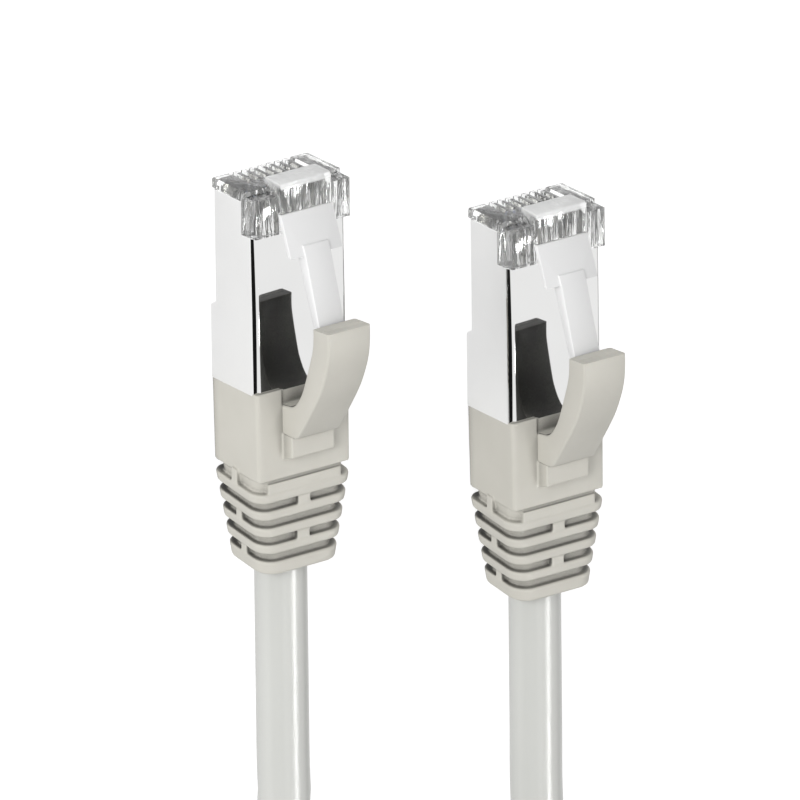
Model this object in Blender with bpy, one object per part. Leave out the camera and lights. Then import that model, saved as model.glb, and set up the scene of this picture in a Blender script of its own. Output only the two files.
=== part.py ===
"""Shielded 8P8C patch cable: two moulded plugs with anti-snag fingers, and the spare cable coiled.

World frame: the plugs lie latch side up (+Z) on the surface, noses toward +Y, side by side along X.
Each plug is written in its own millimetres: x across, y along with 0 at the nose and the cable
toward -y, and z up from the surface.
"""

import math

import bpy
import numpy as np

MM = 0.001

# Plug body and its shield
SOLE = 1.0
PLUG_WIDTH = 11.68
PLUG_TOP = SOLE + 7.1
NOSE_TOP = SOLE + 5.85
CORNER_BLOCK_TOP = PLUG_TOP + 0.45
NOSE_CHAMFER = 0.35
CORNER_SETBACK = 0.5
SHIELD_WALL = 0.25
SHIELD_START = -1.25
SHIELD_LATCH_START = -4.8
SHIELD_CONTACT_START = -6.9
SHIELD_STEP = -13.5
SHIELD_END = -21.3
SHIELD_CORNER = 0.75
SHIELD_TOP_FRONT = PLUG_TOP - 0.25
SHIELD_TOP_REAR = PLUG_TOP - 0.1
SHIELD_SIDE_NOTCH = SOLE + 5.0
BODY_GAP = 0.15
BODY_END = -20.4

# An edge that turns more than this stays crisp in smooth shading, in degrees
SHARP_ANGLE = 40

# Contacts, conductors and their guide
CONTACT_COUNT = 8
CONTACT_PITCH = 1.02
CONTACT_THICK = 0.32
SLOT_WIDTH = 0.62
SLOT_END = -6.4
SLOT_TOP = SOLE + 3.4
CONDUCTOR_RADIUS = 0.36
WIRE_SIDES = 8
CONDUCTOR_Z = SOLE + 3.95
CONDUCTOR_FRONT = -5.3
CONDUCTOR_REAR = -22.2
TUNNEL_HALF = 4.15
TUNNEL_Z = (SOLE + 3.35, SOLE + 4.55)
POCKET_HALF = 4.85
POCKET_FRONT = -8.6
POCKET_Z = (SOLE + 2.3, SOLE + 5.6)
GUIDE_HALF = 4.6
GUIDE_FRONT = -9.2
GUIDE_REAR = -15.2
GUIDE_Z = (SOLE + 2.6, SOLE + 5.3)
GUIDE_BORE = 0.46

# Latch: the root block on the nose and the lever that springs from it
ROOT_HALF = 3.1
ROOT_REACH = 0.95
ROOT_BACK = -2.35
ROOT_TOP = PLUG_TOP + 1.05
ROOT_BOTTOM = SOLE + 5.4
LATCH_AXIS = (-2.5, PLUG_TOP + 0.85)
LEVER_WIDE_HALF = 3.2
LEVER_NARROW_HALF = 1.55

# Boot, its strain relief and the anti-snag finger
BOOT_FRONT = -21.6
BOOT_SQUARE_END = -31.1
BOOT_END = -41.65
BOOT_HALF_FRONT = 5.8
BOOT_HALF_REAR = 5.7
BOOT_SOLE_FRONT = 0.35
BOOT_SOLE_REAR = 0.45
BOOT_TOP_FRONT = PLUG_TOP + 0.15
BOOT_TOP_REAR = PLUG_TOP + 0.22
BOOT_CORNER = 0.45
BOOT_LEAN = 0.07
CABLE_AXIS_Z = SOLE + 2.9
CABLE_RADIUS = 2.7
BOOT_BORE = 2.9
BOOT_POCKET = (4.7, 3.3)
RELIEF_AXIS_Z = SOLE + 3.4
RELIEF_LEAN = 0.13
RELIEF_HALF_W = (6.35, 4.85)
RELIEF_HALF_T = (4.15, 3.55)
RELIEF_CORNER = (1.55, 2.0)
RELIEF_DEPTH = 0.75
RING_PITCH = 1.94
RING_FIRST = 1.4
RING_LENGTH = 1.0
RING_COUNT = 4
COLLAR_START = 9.15
BRIDGE_HALF = 0.75
BRIDGE_INSET = 0.1
SIDE_BRIDGE_HALF = 0.45
FINGER_HALF = 2.65
FINGER_AXIS = (BOOT_FRONT - 3.1, PLUG_TOP + 0.1)
FINGER_FOOT = 0.65
PAD_HEIGHT = 1.78
CRIMP_OUTER = 3.3
CRIMP_INNER = 2.85
CRIMP_FRONT = -23.4
CRIMP_REAR = -28.4
ROUND_SIDES = 24

# Layout of the two plugs and of the cable on the surface
PLUG_SPACING = 31.88
PLUG_X = PLUG_SPACING / 2
PLUG_SETBACK = 10.67
NOSE_Y = (PLUG_SETBACK - BOOT_END - ROOT_REACH) / 2
FLOOR_Z = CABLE_RADIUS + 0.05
COIL_CENTRE = (-3.0, -94.0)
COIL_MEAN_RADIUS = 30.0
COIL_HALF_WIDTH = 9.6
COIL_HALF_HEIGHT = 5.5
COIL_STEPS = 48
COIL_LIFT = 0.85
COIL_GAP = 0.35
TIE_ANGLE = -90.0
TIE_HALF = 3.5
TIE_WALL = 0.45
LEAD_POINTS = 16
LEAD_ROUTES = {
    "a": [
        (-PLUG_X, 3.0, CABLE_AXIS_Z),
        (-PLUG_X, -17.0, CABLE_AXIS_Z),
        (-PLUG_X, -37.0, CABLE_AXIS_Z),
        (-PLUG_X, -43.0, CABLE_AXIS_Z),
        (-16.9, -52.0, FLOOR_Z + 0.5),
    ],
    "b": [
        (PLUG_X, -7.65, CABLE_AXIS_Z),
        (PLUG_X, -28.0, CABLE_AXIS_Z),
        (PLUG_X, -42.0, CABLE_AXIS_Z),
        (PLUG_X, -49.0, CABLE_AXIS_Z),
        (16.3, -54.5, CABLE_AXIS_Z + 0.2),
    ],
}

COLOURS = {
    "clear_housing": (0.86, 0.88, 0.88, 0.55),
    "frosted_latch": (0.9, 0.91, 0.91, 0.8),
    "nickel_shield": (0.83, 0.83, 0.84, 1.0),
    "grey_boot": (0.58, 0.56, 0.51, 1.0),
    "gold_contact": (0.83, 0.62, 0.25, 1.0),
    "wire_guide": (0.85, 0.86, 0.86, 0.7),
    "crimp_collar": (0.7, 0.7, 0.72, 1.0),
    "cable_jacket": (0.6, 0.6, 0.57, 1.0),
    "tie_strap": (0.1, 0.1, 0.1, 1.0),
    "wire_white_orange": (0.9, 0.78, 0.66, 1.0),
    "wire_orange": (0.85, 0.4, 0.12, 1.0),
    "wire_white_green": (0.78, 0.88, 0.76, 1.0),
    "wire_blue": (0.15, 0.27, 0.62, 1.0),
    "wire_white_blue": (0.75, 0.8, 0.9, 1.0),
    "wire_green": (0.14, 0.45, 0.2, 1.0),
    "wire_white_brown": (0.85, 0.78, 0.7, 1.0),
    "wire_brown": (0.32, 0.18, 0.1, 1.0),
}
METALS = ("nickel_shield", "gold_contact", "crimp_collar")
WIRES = [name for name in COLOURS if name.startswith("wire_") and name != "wire_guide"]


def clear_scene():
    for obj in list(bpy.data.objects):
        bpy.data.objects.remove(obj, do_unlink=True)


def make_materials():
    made = {}
    for name, colour in COLOURS.items():
        material = bpy.data.materials.new(name)
        material.use_nodes = True
        shader = material.node_tree.nodes["Principled BSDF"]
        shader.inputs["Base Color"].default_value = (*colour[:3], 1.0)
        shader.inputs["Alpha"].default_value = colour[3]
        shader.inputs["Metallic"].default_value = 1.0 if name in METALS else 0.0
        shader.inputs["Roughness"].default_value = 0.15 if name in METALS else 0.4
        made[name] = material
    return made


def add_mesh(name, points, faces, home, collection, material=None):
    """One mesh in metres from points in millimetres; `home` is where the object's origin goes."""
    home = np.array(home, float)
    mesh = bpy.data.meshes.new(name)
    mesh.from_pydata([tuple((np.array(p) - home) * MM) for p in points], [], faces)
    mesh.validate()
    obj = bpy.data.objects.new(name, mesh)
    obj.location = tuple(home * MM)
    collection.objects.link(obj)
    if material:
        mesh.materials.append(material)
    return obj


def loft(rings):
    """Points and faces of a closed solid through rings of equal point count, its ends capped."""
    count = len(rings[0])
    points = [p for ring in rings for p in ring]
    faces = [tuple(reversed(range(count)))]
    for level in range(len(rings) - 1):
        low = level * count
        for i in range(count):
            j = (i + 1) % count
            faces.append((low + i, low + j, low + count + j, low + count + i))
    last = (len(rings) - 1) * count
    faces.append(tuple(range(last, last + count)))
    return points, outward(points, faces)


def outward(points, faces):
    """The faces, turned round if the solid they bound is inside out."""
    volume = 0.0
    for face in faces:
        a = np.array(points[face[0]])
        for i in range(1, len(face) - 1):
            volume += np.dot(a, np.cross(points[face[i]], points[face[i + 1]]))
    return [tuple(reversed(face)) for face in faces] if volume < 0 else faces


def sleeve(loops):
    """Points and faces of a solid whose loops run round to the first again, as a tube's or a ring's do."""
    count = len(loops[0])
    points = [p for loop in loops for p in loop]
    faces = []
    for level in range(len(loops)):
        low = level * count
        high = (level + 1) % len(loops) * count
        for i in range(count):
            j = (i + 1) % count
            faces.append((low + i, low + j, high + j, high + i))
    return points, outward(points, faces)


def prism_x(profile, half, centre=0.0):
    """A (y, z) profile run across the plug."""
    return loft([[(centre + side * half, y, z) for y, z in profile] for side in (-1, 1)])


def box(x0, x1, y0, y1, z0, z1):
    return loft([[(x, y0, z0), (x, y1, z0), (x, y1, z1), (x, y0, z1)] for x in (x0, x1)])


def rounded(half, z0, z1, radius, y, segments=3):
    """A rounded rectangle across the plug at one y."""
    points = []
    corners = ((half, z0, -90), (half, z1, 0), (-half, z1, 90), (-half, z0, 180))
    for cx, cz, start in corners:
        ox = cx - math.copysign(radius, cx)
        oz = cz + radius if cz == z0 else cz - radius
        for step in range(segments + 1):
            angle = math.radians(start + 90 * step / segments)
            points.append((ox + radius * math.cos(angle), y, oz + radius * math.sin(angle)))
    return points


def circle(x, y, z, radius, sides):
    turn = [2 * math.pi * (i + 0.5) / sides for i in range(sides)]
    return [(x + radius * math.cos(a), y, z + radius * math.sin(a)) for a in turn]


def round_bar(x, z, radius, y0, y1, sides):
    return loft([circle(x, y, z, radius, sides) for y in (y0, y1)])


def shade_round(obj):
    """Smooth shading, with the edges that turn sharply left crisp."""
    obj.data.shade_smooth()
    obj.data.set_sharp_from_angle(angle=math.radians(SHARP_ANGLE))


class Plug:
    """One plug: names its objects, and moves its own millimetres to where the plug lies."""

    def __init__(self, tag, offset, parts, cutters, materials):
        self.tag = tag
        self.offset = np.array(offset)
        self.parts = parts
        self.cutters = cutters
        self.materials = materials

    def place(self, points):
        return [tuple(np.array(p) + self.offset) for p in points]

    def solid(self, name, shape, material, home=(0.0, 0.0, 0.0)):
        points, faces = shape
        return add_mesh(
            f"plug_{self.tag}_{name}",
            self.place(points),
            faces,
            np.array(home) + self.offset,
            self.parts,
            self.materials[material],
        )

    def boolean(self, obj, operation, shapes):
        """Join the shapes to the object, or cut them from it, one Boolean each."""
        for number, (points, faces) in enumerate(shapes):
            name = f"{obj.name}_{operation.lower()}_{number}"
            tool = add_mesh(name, self.place(points), faces, self.offset, self.cutters)
            tool.hide_render = True
            tool.display_type = "WIRE"
            modifier = obj.modifiers.new(name, "BOOLEAN")
            modifier.operation = operation
            modifier.solver = "EXACT"
            modifier.object = tool

    def slot_x(self, index):
        return (index - (CONTACT_COUNT - 1) / 2) * CONTACT_PITCH

    def housing(self):
        """Clear moulding: nose plate, corner blocks, latch root, and a body that fills the shield."""
        half = PLUG_WIDTH / 2
        inner = half - SHIELD_WALL - BODY_GAP
        low = SOLE + SHIELD_WALL + BODY_GAP
        high = SHIELD_TOP_FRONT - SHIELD_WALL - BODY_GAP
        body = self.solid("housing", box(-inner, inner, BODY_END, -1.0, low, high), "clear_housing")
        plate = [
            (-NOSE_CHAMFER, SOLE),
            (0, SOLE + NOSE_CHAMFER),
            (0, NOSE_TOP),
            (-1.1, NOSE_TOP),
            (-1.1, SOLE),
        ]
        nose = prism_x(plate, half)
        block = [
            (-CORNER_SETBACK, NOSE_TOP - 0.75),
            (-CORNER_SETBACK, CORNER_BLOCK_TOP),
            (SHIELD_LATCH_START + 0.15, CORNER_BLOCK_TOP),
            (SHIELD_LATCH_START + 0.15, NOSE_TOP - 0.75),
        ]
        root = [
            (ROOT_REACH, ROOT_BOTTOM),
            (ROOT_REACH, ROOT_TOP - 0.35),
            (ROOT_REACH - 0.3, ROOT_TOP),
            (ROOT_BACK, ROOT_TOP),
            (ROOT_BACK, ROOT_BOTTOM),
        ]
        joined = [nose, prism_x(block, half), prism_x(root, ROOT_HALF)]
        self.boolean(body, "UNION", joined)
        cuts = [
            box(-TUNNEL_HALF, TUNNEL_HALF, POCKET_FRONT - 1, CONDUCTOR_FRONT + 0.3, *TUNNEL_Z),
            box(-POCKET_HALF, POCKET_HALF, BODY_END - 1, POCKET_FRONT, *POCKET_Z),
        ]
        for i in range(CONTACT_COUNT):
            x = self.slot_x(i)
            cuts.append(box(x - SLOT_WIDTH / 2, x + SLOT_WIDTH / 2, SLOT_END, 1.0, SOLE - 1, SLOT_TOP))
        self.boolean(body, "DIFFERENCE", cuts)

    def latch(self):
        """The lever that snaps into a socket; its origin is on the living hinge at its root."""
        y0 = ROOT_BACK - 0.3
        t = PLUG_TOP
        plate = [
            (y0, t + 0.6),
            (y0, t + 1.25),
            (-6.65, t + 2.8),
            (-6.65, t + 2.17),
        ]
        home = (0.0, *LATCH_AXIS)
        lever = self.solid("latch", prism_x(plate, LEVER_WIDE_HALF), "frosted_latch", home)
        arm = [
            (-5.5, t + 1.95),
            (-5.6, t + 2.65),
            (-6.65, t + 3.1),
            (-13.65, t + 5.2),
            (-13.95, t + 4.95),
            (-13.95, t + 4.3),
            (-7.15, t + 1.75),
            (-6.3, t + 2.2),
        ]
        self.boolean(lever, "UNION", [prism_x(arm, LEVER_NARROW_HALF)])

    def shield(self):
        """Folded metal shell, deeper on the contact side toward the cable."""
        half = PLUG_WIDTH / 2
        wall = SHIELD_WALL

        def ring(y, bottom, top, inset):
            return rounded(half - inset, bottom + inset, top - inset, SHIELD_CORNER - inset, y)

        front, rear = SOLE - 0.1, 0.0
        outer = loft([
            ring(SHIELD_START, front, SHIELD_TOP_FRONT, 0),
            ring(SHIELD_STEP, front, SHIELD_TOP_REAR, 0),
            ring(SHIELD_STEP - 0.5, rear, SHIELD_TOP_REAR, 0),
            ring(SHIELD_END, rear, SHIELD_TOP_REAR, 0),
        ])
        inner = loft([
            ring(SHIELD_START + 1, front, SHIELD_TOP_FRONT, wall),
            ring(SHIELD_STEP - 0.2, front, SHIELD_TOP_REAR, wall),
            ring(SHIELD_STEP - 0.7, rear, SHIELD_TOP_REAR, wall),
            ring(SHIELD_END - 1, rear, SHIELD_TOP_REAR, wall),
        ])
        shell = self.solid("shield", outer, "nickel_shield")
        latch_cut = box(-half - 1, half + 1, SHIELD_LATCH_START, 1, SHIELD_SIDE_NOTCH, PLUG_TOP + 1)
        contact_cut = box(-half + 0.9, half - 0.9, SHIELD_CONTACT_START, 1, -1, SOLE + 1)
        self.boolean(shell, "DIFFERENCE", [inner, latch_cut, contact_cut])

    def contact(self, index):
        """Gilt blade: the edge a socket's springs touch, and two points toward the conductor."""
        s = SOLE
        blade = [
            (-0.75, s + 1.2),
            (-1.15, s + 0.55),
            (-1.8, s + 0.4),
            (-5.6, s + 0.4),
            (-6.1, s + 0.9),
            (-6.1, s + 2.6),
            (-5.6, s + 3.3),
            (-5.1, s + 2.7),
            (-4.3, s + 2.7),
            (-3.9, s + 3.3),
            (-3.5, s + 2.4),
            (-0.75, s + 2.4),
        ]
        shape = prism_x(blade, CONTACT_THICK / 2, self.slot_x(index))
        self.solid(f"contact_{index + 1}", shape, "gold_contact")

    def conductor(self, index):
        bar = round_bar(
            self.slot_x(index), CONDUCTOR_Z, CONDUCTOR_RADIUS, CONDUCTOR_REAR, CONDUCTOR_FRONT, WIRE_SIDES
        )
        shade_round(self.solid(f"conductor_{index + 1}", bar, WIRES[index]))

    def wire_guide(self):
        guide = box(-GUIDE_HALF, GUIDE_HALF, GUIDE_REAR, GUIDE_FRONT, *GUIDE_Z)
        bar = self.solid("wire_guide", guide, "wire_guide")
        bores = []
        for i in range(CONTACT_COUNT):
            ends = (GUIDE_REAR - 1, GUIDE_FRONT + 1)
            bores.append(round_bar(self.slot_x(i), CONDUCTOR_Z, GUIDE_BORE, *ends, WIRE_SIDES))
        self.boolean(bar, "DIFFERENCE", bores)

    def crimp(self):
        loops = []
        for radius, y in (
            (CRIMP_OUTER, CRIMP_REAR),
            (CRIMP_OUTER, CRIMP_FRONT),
            (CRIMP_INNER, CRIMP_FRONT),
            (CRIMP_INNER, CRIMP_REAR),
        ):
            loops.append(circle(0, y, CABLE_AXIS_Z, radius, ROUND_SIDES))
        shade_round(self.solid("crimp_collar", sleeve(loops), "crimp_collar"))

    def relief_section(self, behind, inset=0.0):
        """The strain relief's outline at a distance behind the square block."""
        share = behind / (BOOT_SQUARE_END - BOOT_END)
        tapers = (RELIEF_HALF_W, RELIEF_HALF_T, RELIEF_CORNER)
        half_w, half_t, corner = (first + share * (last - first) for first, last in tapers)
        low, high = RELIEF_AXIS_Z - half_t + inset, RELIEF_AXIS_Z + half_t - inset
        return rounded(half_w - inset, low, high, corner - inset / 2, BOOT_SQUARE_END - behind, 4)

    def leaning(self, shape, lean):
        """The shape sheared so that its sole side lies nearer the nose."""
        points, faces = shape
        return [(x, y + lean * (PLUG_TOP - z), z) for x, y, z in points], faces

    def relief_bridge(self, level, near, far):
        """What ties one ring to the next: top and bottom at odd levels, the sides at even ones."""
        reach = np.array(self.relief_section(far, BRIDGE_INSET))
        half_w = reach[:, 0].max()
        low, high = reach[:, 2].min(), reach[:, 2].max()
        y0, y1 = BOOT_SQUARE_END - far, BOOT_SQUARE_END - near
        if level % 2:
            return box(-BRIDGE_HALF, BRIDGE_HALF, y0, y1, low, high)
        middle = RELIEF_AXIS_Z
        return box(-half_w, half_w, y0, y1, middle - SIDE_BRIDGE_HALF, middle + SIDE_BRIDGE_HALF)

    def boot(self):
        """Moulded boot: square block, strain relief of rings and bridges, and the finger's base pad."""
        rear = rounded(BOOT_HALF_REAR, BOOT_SOLE_REAR, BOOT_TOP_REAR, BOOT_CORNER, BOOT_SQUARE_END)
        rear, _ = self.leaning((rear, []), BOOT_LEAN)
        front = rounded(BOOT_HALF_FRONT, BOOT_SOLE_FRONT, BOOT_TOP_FRONT, BOOT_CORNER, BOOT_FRONT)
        square = loft([front, rear])
        body = self.solid("boot", square, "grey_boot")
        relief_length = BOOT_SQUARE_END - BOOT_END
        core = [self.relief_section(behind, RELIEF_DEPTH) for behind in (-0.3, relief_length - 0.5)]
        joined = [loft(core)]
        starts = [RING_FIRST + i * RING_PITCH for i in range(RING_COUNT)]
        spans = [(start, start + RING_LENGTH) for start in starts]
        spans.append((COLLAR_START, relief_length))
        joined += [loft([self.relief_section(behind) for behind in span]) for span in spans]
        ends = [0.0] + [far for near, far in spans]
        for level, (near, _) in enumerate(spans):
            joined.append(self.relief_bridge(level, ends[level] - 0.1, near + 0.1))
        joined = [self.leaning(shape, RELIEF_LEAN) for shape in joined]
        top = PLUG_TOP - 0.3
        pad = [
            (BOOT_FRONT - 4.95, top),
            (BOOT_FRONT - 4.95, PLUG_TOP + PAD_HEIGHT),
            (BOOT_FRONT - 7.0, PLUG_TOP + PAD_HEIGHT),
            (BOOT_FRONT - 7.55, PLUG_TOP),
            (BOOT_FRONT - 7.55, top),
        ]
        joined.append(prism_x(pad, FINGER_HALF))
        self.boolean(body, "UNION", joined)
        pocket_half, pocket_rise = BOOT_POCKET
        low, high = CABLE_AXIS_Z - pocket_rise, CABLE_AXIS_Z + pocket_rise
        pocket = box(-pocket_half, pocket_half, CRIMP_REAR - 0.3, BOOT_FRONT + 1, low, high)
        notch_y = (BOOT_FRONT - 1.75, BOOT_FRONT + 1)
        notch = box(-FINGER_HALF, FINGER_HALF, *notch_y, PLUG_TOP - 0.3, PLUG_TOP + 1)
        bore = round_bar(0, CABLE_AXIS_Z, BOOT_BORE, BOOT_END - 1, BOOT_FRONT, ROUND_SIDES)
        collar_y = (CRIMP_REAR - 0.3, BOOT_FRONT + 1)
        collar = round_bar(0, CABLE_AXIS_Z, CRIMP_OUTER + 0.2, *collar_y, ROUND_SIDES)
        self.boolean(body, "DIFFERENCE", [pocket, notch, bore, collar])

    def finger(self):
        """Curved finger that shields the latch; its origin is on the bending line at its foot."""
        outer = [
            (FINGER_FOOT, -4.65),
            (2.28, -4.65),
            (3.29, -3.69),
            (4.7, -1.65),
            (5.89, 0.16),
            (6.6, 1.35),
            (7.14, 2.48),
            (7.78, 4.1),
            (8.15, 5.56),
            (8.27, 7.0),
            (8.27, 8.35),
        ]
        inner = [
            (5.52, 8.15),
            (5.5, 7.0),
            (5.34, 5.79),
            (4.75, 3.95),
            (4.06, 2.08),
            (3.6, 0.9),
            (3.1, 0.0),
            (2.45, -0.85),
            (1.69, -1.4),
            (FINGER_FOOT, -1.65),
        ]
        profile = [(BOOT_FRONT + along, PLUG_TOP + up) for up, along in outer + inner]
        home = (0.0, *FINGER_AXIS)
        shade_round(self.solid("boot_finger", prism_x(profile, FINGER_HALF), "grey_boot", home))

    def build(self):
        self.housing()
        self.latch()
        self.shield()
        for i in range(CONTACT_COUNT):
            self.contact(i)
            self.conductor(i)
        self.wire_guide()
        self.crimp()
        self.boot()
        self.finger()


def smooth_route(points, count):
    """Points read evenly from a Catmull-Rom curve through the route's own points."""
    route = np.array(points, float)
    ends = np.vstack([2 * route[0] - route[1], route, 2 * route[-1] - route[-2]])
    dense = []
    for i in range(len(route) - 1):
        a, b, c, d = ends[i : i + 4]
        for t in np.linspace(0, 1, 40, endpoint=False):
            square = 2 * a - 5 * b + 4 * c - d
            cube = 3 * b - a - 3 * c + d
            dense.append(0.5 * (2 * b + (c - a) * t + square * t**2 + cube * t**3))
    dense.append(route[-1])
    dense = np.array(dense)
    run = np.concatenate([[0], np.cumsum(np.linalg.norm(np.diff(dense, axis=0), axis=1))])
    at = np.linspace(0, run[-1], count)
    return np.stack([np.interp(at, run, dense[:, axis]) for axis in range(3)], axis=1)


def cable_lead(name, route, count, parts, material):
    """A tube along the route, its open curve made a mesh."""
    curve = bpy.data.curves.new(name, "CURVE")
    curve.dimensions = "3D"
    curve.bevel_depth = CABLE_RADIUS * MM
    curve.bevel_resolution = 3
    curve.use_fill_caps = True
    spline = curve.splines.new("POLY")
    line = smooth_route(route, count)
    spline.points.add(len(line) - 1)
    for point, at in zip(spline.points, line):
        point.co = (*(at * MM), 1.0)
    obj = bpy.data.objects.new(name, curve)
    parts.objects.link(obj)
    curve.materials.append(material)
    return obj


def cable_coil(parts, material):
    """The spare cable as one turned ring, whose round-cornered section the turns fill."""
    centre = np.array([*COIL_CENTRE, COIL_HALF_HEIGHT + COIL_LIFT])
    section = rounded(COIL_HALF_WIDTH, -COIL_HALF_HEIGHT, COIL_HALF_HEIGHT, CABLE_RADIUS, 0)
    loops = []
    for i in range(COIL_STEPS):
        angle = 2 * math.pi * i / COIL_STEPS
        out = np.array([math.cos(angle), math.sin(angle), 0.0])
        spine = centre + out * COIL_MEAN_RADIUS
        loops.append([tuple(spine + out * across + (0, 0, up)) for across, _, up in section])
    shade_round(add_mesh("cable_coil", *sleeve(loops), centre, parts, material))


def coil_tie(parts, material):
    """The strap round the turns."""
    angle = math.radians(TIE_ANGLE)
    out = np.array([math.cos(angle), math.sin(angle), 0.0])
    along = np.array([-out[1], out[0], 0.0])
    middle = np.array([*COIL_CENTRE, COIL_HALF_HEIGHT + COIL_LIFT]) + out * COIL_MEAN_RADIUS
    loops = []
    for extra, end in (
        (COIL_GAP + TIE_WALL, -TIE_HALF),
        (COIL_GAP + TIE_WALL, TIE_HALF),
        (COIL_GAP, TIE_HALF),
        (COIL_GAP, -TIE_HALF),
    ):
        high = COIL_HALF_HEIGHT + extra
        outline = rounded(COIL_HALF_WIDTH + extra, -high, high, CABLE_RADIUS + extra, 0)
        loops.append([tuple(middle + out * x + along * end + (0, 0, z)) for x, _, z in outline])
    shade_round(add_mesh("coil_tie", *sleeve(loops), middle, parts, material))


def main():
    clear_scene()
    scene = bpy.context.scene
    parts = bpy.data.collections.new("ethernet_patch_cable")
    cutters = bpy.data.collections.new("cutters")
    scene.collection.children.link(parts)
    scene.collection.children.link(cutters)
    materials = make_materials()
    offsets = {
        "a": (-PLUG_X, NOSE_Y, 0.0),
        "b": (PLUG_X, NOSE_Y - PLUG_SETBACK, 0.0),
    }
    for tag, offset in offsets.items():
        Plug(tag, offset, parts, cutters, materials).build()
    for tag, route in LEAD_ROUTES.items():
        cable_lead(f"cable_lead_{tag}", route, LEAD_POINTS, parts, materials["cable_jacket"])
    cable_coil(parts, materials["cable_jacket"])
    coil_tie(parts, materials["tie_strap"])
    cutters.hide_render = True


main()
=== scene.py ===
"""Shielded patch cable: two clear-nosed plugs with moulded boots, and the cable between them.

The plugs lie latch side up on a pale surface, noses toward +Y. A plug is written in its own millimetres:
x across, y along (0 at the nose, cable toward -y), z up from the sole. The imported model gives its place.
"""

import math

import bpy
import numpy as np
from mathutils import Matrix, Vector


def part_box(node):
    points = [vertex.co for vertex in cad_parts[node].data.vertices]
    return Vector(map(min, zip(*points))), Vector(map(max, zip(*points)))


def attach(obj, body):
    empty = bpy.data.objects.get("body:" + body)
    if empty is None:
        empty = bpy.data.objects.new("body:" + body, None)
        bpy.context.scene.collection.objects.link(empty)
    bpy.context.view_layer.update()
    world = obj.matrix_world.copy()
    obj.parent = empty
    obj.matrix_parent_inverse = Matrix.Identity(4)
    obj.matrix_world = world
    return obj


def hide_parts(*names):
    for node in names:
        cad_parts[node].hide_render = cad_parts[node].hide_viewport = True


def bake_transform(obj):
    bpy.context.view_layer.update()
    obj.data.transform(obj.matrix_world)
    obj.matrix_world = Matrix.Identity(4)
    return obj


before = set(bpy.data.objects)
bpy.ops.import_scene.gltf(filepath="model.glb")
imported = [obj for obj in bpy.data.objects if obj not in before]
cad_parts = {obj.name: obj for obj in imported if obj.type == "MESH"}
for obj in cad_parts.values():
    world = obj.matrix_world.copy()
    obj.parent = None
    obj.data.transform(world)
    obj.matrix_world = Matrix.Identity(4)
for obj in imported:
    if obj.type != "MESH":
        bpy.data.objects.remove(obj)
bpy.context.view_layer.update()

MM = 0.001

# How far the latch's root stands out from the nose
ROOT_REACH = 0.95

# Where each plug's nose is: the middle of its front edge, on the surface
PLACES = {}
for tag in "ab":
    low, high = (Vector(corner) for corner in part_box(f"plug_{tag}_housing"))
    PLACES[tag] = Vector(((low.x + high.x) / 2, high.y - ROOT_REACH * MM, 0.0))

# Plug
SOLE = 1.0
PLUG_WIDTH = 11.68
PLUG_TOP = SOLE + 7.1
NOSE_TOP = SOLE + 5.85
NOSE_BACK = -1.15
HOUSING_END = -20.4
CORNER_FRONT, CORNER_BACK = -0.5, -4.65
ROOT_HALF = 3.1
ROOT_BACK = -2.4
ROOT_TOP = PLUG_TOP + 1.05
ROOT_BOTTOM = SOLE + 5.4
MILKY_FROM = 0.3
BOOT_FRONT = -21.6
BOOT_SQUARE_END = -31.1
BOOT_END = -41.65
CABLE_AXIS_Z = SOLE + 2.9
CABLE_RADIUS = 2.7
FLOOR_Z = CABLE_RADIUS + 0.05
PLUG_X = 15.94
CONTACTS = 8
CONTACT_PITCH = 1.02
CONTACT_HALF = 0.16
SLOT_HALF = 0.31

# Latch: a wide plate from the root, and a narrow arm that goes on from it
LATCH_START = -2.38
PLATE_END = -6.65
PLATE_HALF = 3.2
ARM_HALF = 1.55

# Shield: thicker on the sole side behind its step, open over the contacts and at the front of the latch side
SHIELD_WALL = 0.25
SHIELD_CORNER = 0.75
SHIELD_FRONT = -1.25
SHIELD_STEP = (-13.5, -14.0)
SHIELD_END = -21.8
SHIELD_DROP = (0.25, 0.1)
SHIELD_NOTCH_END = -4.8
CONTACT_OPENING_END = -6.9

# Boot: its square block at the front and rear, the notch at the finger's foot and the pad behind it
BLOCK_HALF = (5.8, 5.7)
BLOCK_SOLE = (0.35, 0.45)
BLOCK_TOP = (PLUG_TOP + 0.15, PLUG_TOP + 0.22)
BLOCK_CORNER = 0.4
BLOCK_LEAN = 0.07
NOTCH_LENGTH = 1.75
NOTCH_DEPTH = 0.1
PAD_HALF = 2.65
PAD_HEIGHT = 1.78
STEP_HALF = 4.5
STEP_GROOVE = 0.4

# Strain relief: its taper from the square block to the cable end, its rings and what bridges them
RELIEF_AXIS_Z = SOLE + 3.4
RELIEF_LEAN = 0.13
RELIEF_W = (6.35, 4.85)
RELIEF_T = (4.15, 3.55)
RELIEF_CORNER = (1.55, 2.0)
RELIEF_DEPTH = 0.75
RING_FIRST = 1.4
RING_PITCH = 1.94
RING_LENGTH = 1.0
RING_COUNT = 4
RING_EDGE = 0.12
COLLAR_START = 9.15
BRIDGE_HALF = 0.75
SIDE_BRIDGE_HALF = 0.45
BRIDGE_INSET = 0.08

# Camera
TARGET = (-1.58, -2.05, 5.0)
VIEW_BACK = (-0.5457, 0.3626, 0.7555)
VIEW_UP = (0.2212, 0.9319, -0.2874)
CAMERA_DISTANCE = 2500.0
LENS = 1108.75

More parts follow.
